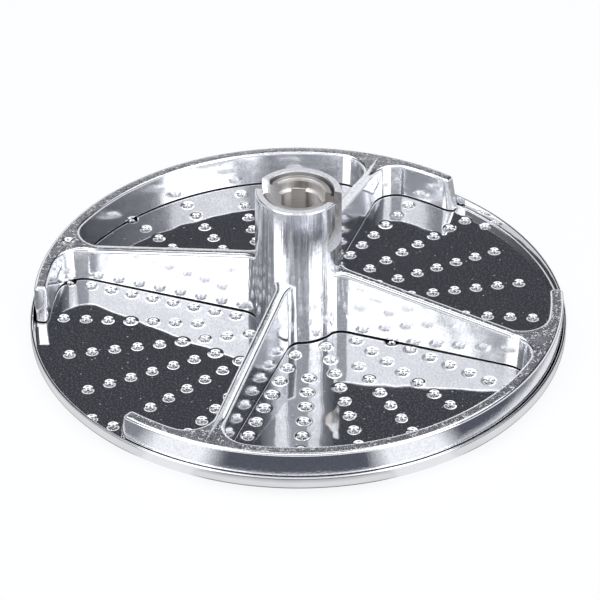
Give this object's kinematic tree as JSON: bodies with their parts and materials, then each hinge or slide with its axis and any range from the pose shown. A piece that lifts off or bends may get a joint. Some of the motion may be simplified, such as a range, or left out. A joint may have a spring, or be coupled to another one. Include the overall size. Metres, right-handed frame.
{
  "type": "food processor disc",
  "caption": "Round grating disc: a thin polished plate pierced with rows of nibs, under a cast spoked frame with raised rim arcs and a central drive hub with bayonet slots.",
  "frame": {"origin": "on the hub axis, at the level of the nib tips that the disc rests on", "axes": "+Z along the hub axis, out of the hub's mouth; +X along the spoke below the bayonet slot; +Y along the next spoke"},
  "size_m": [0.19, 0.19, 0.0578],
  "materials": {
    "casting": "polished casting",
    "plate": "mirror polished",
    "bush": "turned"
  },
  "bodies": {
    "root": {"carrier": "casting", "grating_plate": "plate", "hub_bush": "bush"}
  },
  "joints": []
}
